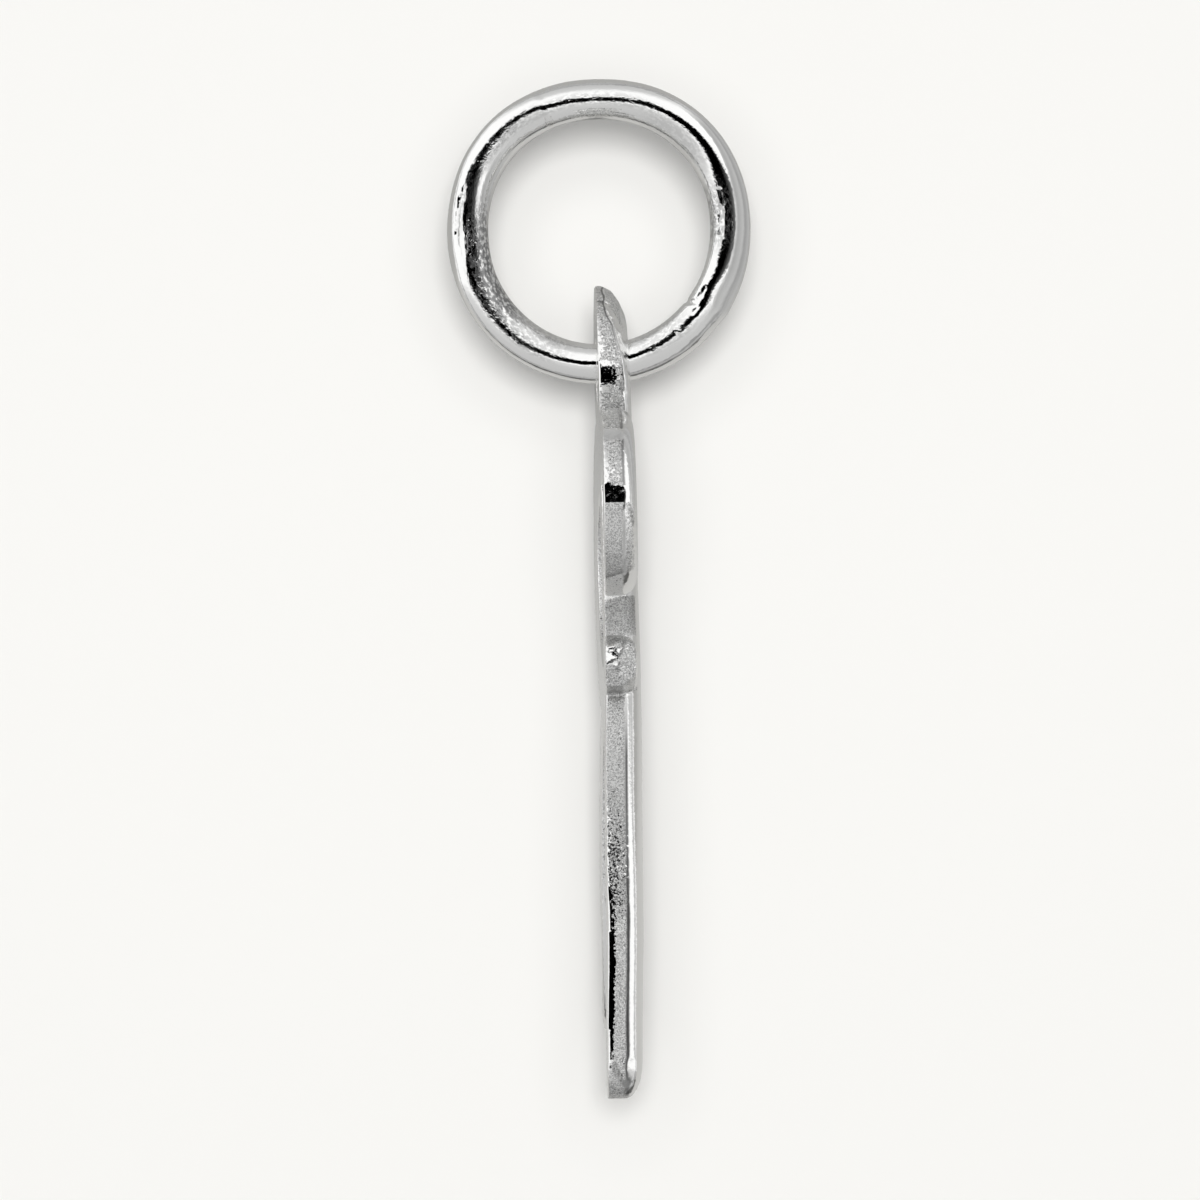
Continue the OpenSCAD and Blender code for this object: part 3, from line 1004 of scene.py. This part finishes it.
    def dress(self, letter: Piece) -> None:
        """Mark the casting's zones and give it its finish."""
        at = places(letter)
        normal = vectors(letter.data.vertex_normals, "vector")
        from_back = at[:, 0] - self.back_at(at)
        past_strip = from_back - np.interp(at[:, 2], *zip(*self.polished_strip))
        levels, *columns = zip(*self.skin)
        level = at[:, 2] - self.skin_slant * (at[:, 0] - self.thickness / 2)
        coarse, dark, mottled, shade_line_share = (np.interp(level, levels, column) for column in columns)
        near_back = self.mottled_beyond + (1 - self.mottled_beyond) * smooth_drop(from_back, *self.mottled)
        values = {
            Zone.OFF_STRIP: np.clip(past_strip / self.strip_edge + 0.5, 0, 1),
            Zone.TILT: normal[:, 0],
            Zone.MATT: self.matt(at, normal[:, 0]),
            # Painted shade by height on the left side, in pressed-in creases and in hollows; painted light
            # where the height table goes below 0
            Zone.SHADE: (dark * smooth_drop(at[:, 1], *self.darkened) + self.crease_shade(at)
                         + self.hollow_shade * self.hollows(letter, at, normal)),
            Zone.COARSE: coarse,
            Zone.SOILED: mottled * near_back * (at[:, 1] < 0),
            Zone.EDGED: shade_line_share,
        }
        for zone, value in values.items():
            mark_zone(letter, zone, value)
        letter.data.materials.append(self.finish.make())

    def build(self) -> Piece:
        """The finished letter, in place of its CAD node."""
        letter = self.cast([
            self.stroke("flag_and_bowl", self.flag_and_bowl),
            self.stroke("stem", self.stem),
            self.stroke("leg", self.leg),
            self.eye(),
        ])
        self.dress(letter)
        hinge = frame["joints"][0]
        axis = Vector(hinge["axis"])
        lean = math.atan2(axis.z, axis.x)
        set_down(letter, Vector(hinge["pos_m"]) - axis * (self.eye_depth / 2 * MM), (0, -lean, 0))
        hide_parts("letter")
        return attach(letter, "charm")


# The studio


@dataclass(frozen=True)
class LightTent:
    """A white tent of light all round, grey low down and far up, with the dark lens side in front.

    Azimuths run from the lens to the right, and elevations from the horizon up, in degrees.
    """

    strength: float = 1.12
    shown: Colour = (0.955, 0.945, 0.91, 1.0)
    fill: float = 0.25
    # How far above and below the horizon the dark lens side ends
    lens_rim: Span = (10.0, 13.0)
    # The side of the tent that the lens looks through. Columns: azimuth, brightness
    lens_side: Rows = (
        (-180, 1), (-39.5, 1), (-37, 0), (14, 0), (28, 0.07), (37, 0.16), (44, 0.8), (50, 1), (180, 1),
    )
    # Columns: elevation, brightness
    up_and_down: Rows = (
        (-90, 0.5), (-40, 0.56), (-22, 0.66), (-14, 1), (10, 1), (46, 1), (62, 0.62), (90, 0.5),
    )
    # Columns: azimuth, brightness
    all_round: Rows = (
        (-180, 0.8), (-106, 0.7), (-98, 0.9), (-92, 0.45), (-86, 1), (80, 1), (87, 0.5), (94, 0.5),
        (100, 0.9), (106, 0.66), (130, 0.66), (180, 0.8),
    )

    def make(self) -> None:
        """Set the world to the tent."""
        world = bpy.data.worlds.new("light_tent")
        world.use_nodes = True
        bpy.context.scene.world = world
        graph = Graph(world.node_tree)
        x, y, z = graph.parts(graph.add("TexCoord").outputs["Generated"])
        azimuth = graph.math("DEGREES", graph.math("ARCTAN2", x, graph.times(y, -1.0)))
        elevation = graph.math("DEGREES", graph.math("ARCSINE", z))
        off_lens = graph.math("MAXIMUM", graph.grey_ramp(azimuth, self.lens_side),
                              graph.rise(graph.math("ABSOLUTE", elevation), self.lens_rim))
        rays = graph.add("LightPath").outputs
        level = graph.times(graph.grey_ramp(elevation, self.up_and_down),
                            graph.grey_ramp(azimuth, self.all_round), off_lens, self.strength,
                            graph.straight(rays["Is Diffuse Ray"], (1.0, self.fill)))
        light = graph.out("Background", {"Color": (1, 1, 1, 1), "Strength": level})
        shown = graph.out("Background", {"Color": self.shown, "Strength": 1.0})
        mixed = graph.out("MixShader", {0: rays["Is Camera Ray"], 1: light, 2: shown})
        graph.add("OutputWorld", {"Surface": mixed})


@dataclass(frozen=True)
class Studio:
    """A pale backdrop and floor with their own soft lights, a card that the metal mirrors, and the camera."""

    # The backdrop hangs clear of the letter's whole swing. It fades out by shares of its radius
    backdrop_y: float = 16 * MM
    backdrop_r: float = 77 * MM
    backdrop_fade: Span = (0.72, 0.98)
    backdrop_sides: int = 96
    floor_z: float = -38 * MM
    floor_size: float = 0.9
    paper: Colour = (0.9, 0.893, 0.868, 1.0)
    # How bright the metal mirrors the paper. Columns: height, share of the paper's own
    paper_in_metal: tuple[Span, Span] = ((-14 * MM, 0.63), (-5 * MM, 0.47))
    # Round lamps in front of the backdrop. Columns: watts, width in degrees, azimuth and elevation
    lamps: Rows = ((1.6, 2.9, -1.045, 1.0), (0.94, 10.5, -1.3, 1.35))
    lamp_distance: float = 0.542
    # A sun straight above the floor: strength and width in degrees
    floor_light: Span = (2.5, 10.0)
    # A grey card close to the right of the ring, seen only in reflections
    flag_x: float = 8 * MM
    flag_y: Span = (-6.5 * MM, 6.0 * MM)
    flag_z: Span = (-10.5 * MM, 11.0 * MM)
    # How softly it ends at the front, at the bottom and at the top
    flag_fades: Triple = (1.5 * MM, 6 * MM, 6 * MM)
    # Its brightness from the front edge to the back one. Columns: share of the way, brightness
    flag_tones: Rows = ((0, 0.66), (0.2, 0.44), (0.45, 0.56), (0.55, 0.38), (0.8, 0.5), (1, 0.42))
    aim: Triple = (0.02 * MM, 0.0, -9.62 * MM)
    camera_azimuth: float = -1.2
    camera_distance: float = 0.35
    camera_clip: Span = (0.035, 3.5)
    field_of_view: float = 24.0 * MM
    sensor: float = 36.0
    tent: LightTent = field(default_factory=LightTent)

    def paper_material(self, name: str, faded: bool) -> bpy.types.Material:
        """Matt pale paper, darker where the metal mirrors it.

        Args:
            name: the material's name.
            faded: True for the backdrop, which fades out round its rim and is clear from behind.
        """
        material, graph = new_material(name)
        place = graph.place()
        (low, low_share), (high, high_share) = self.paper_in_metal
        lit = graph.rise(graph.parts(place)[2], (low, high), (low_share, high_share))
        mirrored = graph.add("LightPath").outputs["Is Glossy Ray"]
        tone = graph.blend(graph.times(mirrored, graph.math("SUBTRACT", 1.0, lit)), self.paper, BLACK)
        surface = graph.out("BsdfDiffuse", {"Color": tone})
        if faded:
            middle = (self.aim[0], self.backdrop_y, self.aim[2])
            away = graph.add("VectorMath", {0: place, 1: middle}, operation="DISTANCE").outputs["Value"]
            start, end = self.backdrop_fade
            gone = graph.math("MAXIMUM", graph.rise(away, (self.backdrop_r * start, self.backdrop_r * end)),
                              graph.add("NewGeometry").outputs["Backfacing"])
            surface = graph.out("MixShader", {0: gone, 1: surface, 2: graph.out("BsdfTransparent")})
        graph.add("OutputMaterial", {"Surface": surface})
        return material

    def finish_sheet(self, name: str, material: bpy.types.Material) -> Piece:
        """Name the flat that was just added, settle it and give it its material."""
        sheet = bpy.context.object
        sheet.name = name
        settle(sheet)
        sheet.data.materials.append(material)
        return sheet

    def backdrop(self) -> None:
        """A round sheet of paper behind the letter."""
        bpy.ops.mesh.primitive_circle_add(vertices=self.backdrop_sides, radius=self.backdrop_r,
                                          fill_type="NGON", rotation=(QUARTER_TURN, 0, 0),
                                          location=(self.aim[0], self.backdrop_y, self.aim[2]))
        sheet = self.finish_sheet("backdrop", self.paper_material("backdrop_paper", True))

    def floor(self) -> None:
        """A wide pale floor below the hanging charm."""
        bpy.ops.mesh.primitive_plane_add(size=self.floor_size, location=(0, 0, self.floor_z))
        floor = self.finish_sheet("floor", self.paper_material("floor_paper", False))
        floor.visible_glossy = floor.visible_diffuse = False

    def flag_material(self) -> bpy.types.Material:
        """The card's grey, with soft edges."""
        material, graph = new_material("flag_grey")
        _, y, z = graph.parts(graph.place())
        front, lower, top = self.flag_fades
        shown = graph.times(graph.rise(y, (self.flag_y[0], self.flag_y[0] + front)),
                            graph.rise(z, (self.flag_z[0], self.flag_z[0] + lower)),
                            graph.rise(z, (self.flag_z[1] - top, self.flag_z[1]), FALLING))
        tone = graph.grey_ramp(graph.rise(y, self.flag_y, smooth=False), self.flag_tones)
        card = graph.out("MixShader", {0: shown, 1: graph.out("BsdfTransparent"),
                                       2: graph.out("Emission", {"Color": tone})})
        graph.add("OutputMaterial", {"Surface": card})
        return material

    def flag(self) -> None:
        """A grey card that the right side of the ring mirrors."""
        bpy.ops.mesh.primitive_plane_add(size=1, rotation=(0, -QUARTER_TURN, 0),
                                         location=(self.flag_x, sum(self.flag_y) / 2, sum(self.flag_z) / 2))
        bpy.context.object.scale = (self.flag_z[1] - self.flag_z[0], self.flag_y[1] - self.flag_y[0], 1)
        card = self.finish_sheet("flag", self.flag_material())
        card.visible_camera = card.visible_diffuse = card.visible_shadow = False

    def aimed(self, azimuth: float, elevation: float, distance: float) -> dict[str, object]:
        """The location and rotation of something that looks at the charm, from angles in degrees."""
        a, e = math.radians(azimuth), math.radians(elevation)
        back = Vector((math.sin(a) * math.cos(e), -math.cos(a) * math.cos(e), math.sin(e)))
        return {"location": Vector(self.aim) + back * distance,
                "rotation": (-back).to_track_quat("-Z", "Y").to_euler()}

    def paper_lights(self) -> None:
        """Two soft lamps for the backdrop and a sun for the floor, none of them mirrored by the metal."""
        strength, width = self.floor_light
        bpy.ops.object.light_add(type="SUN")
        sun = bpy.context.object
        sun.data.energy = strength
        sun.data.angle = math.radians(width)
        sun.visible_glossy = False
        for power, width, azimuth, elevation in self.lamps:
            bpy.ops.object.light_add(type="AREA", **self.aimed(azimuth, elevation, self.lamp_distance))
            lamp = bpy.context.object
            lamp.data.shape = "DISK"
            lamp.data.size = 2 * self.lamp_distance * math.tan(math.radians(width) / 2)
            lamp.data.energy = power
            lamp.visible_glossy = lamp.visible_camera = False

    def camera(self) -> None:
        """The camera of the main view."""
        bpy.ops.object.camera_add(**self.aimed(self.camera_azimuth, 0.0, self.camera_distance))
        camera = bpy.context.object
        camera.data.sensor_width = self.sensor
        camera.data.lens = self.sensor * self.camera_distance / self.field_of_view
        camera.data.clip_start, camera.data.clip_end = self.camera_clip
        bpy.context.scene.camera = camera

    def build(self) -> None:
        """Set up the whole studio."""
        bpy.context.scene.view_settings.view_transform = "Standard"
        self.tent.make()
        self.backdrop()
        self.floor()
        self.flag()
        self.paper_lights()
        self.camera()


def report(piece: Piece, node: str) -> None:
    """Log a finished piece, its size and how far its box is from its CAD node's."""
    low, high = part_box(node)
    at = places(piece)
    off = np.concatenate([at.min(0) - np.array(low), at.max(0) - np.array(high)]) / MM
    triangles = sum(len(face.vertices) - 2 for face in piece.data.polygons)
    log.info("%s: %d triangles, box off its node by %s mm", piece.name, triangles, np.round(off, 3))


def main() -> None:
    """Build the studio, the ring and the letter, and log their sizes."""
    logging.basicConfig(level=logging.INFO, format="%(name)s: %(message)s")
    Studio().build()
    for maker, node in ((JumpRing(), "jump_ring"), (ScriptLetter(), "letter")):
        report(maker.build(), node)


if __name__ == "__main__":
    main()
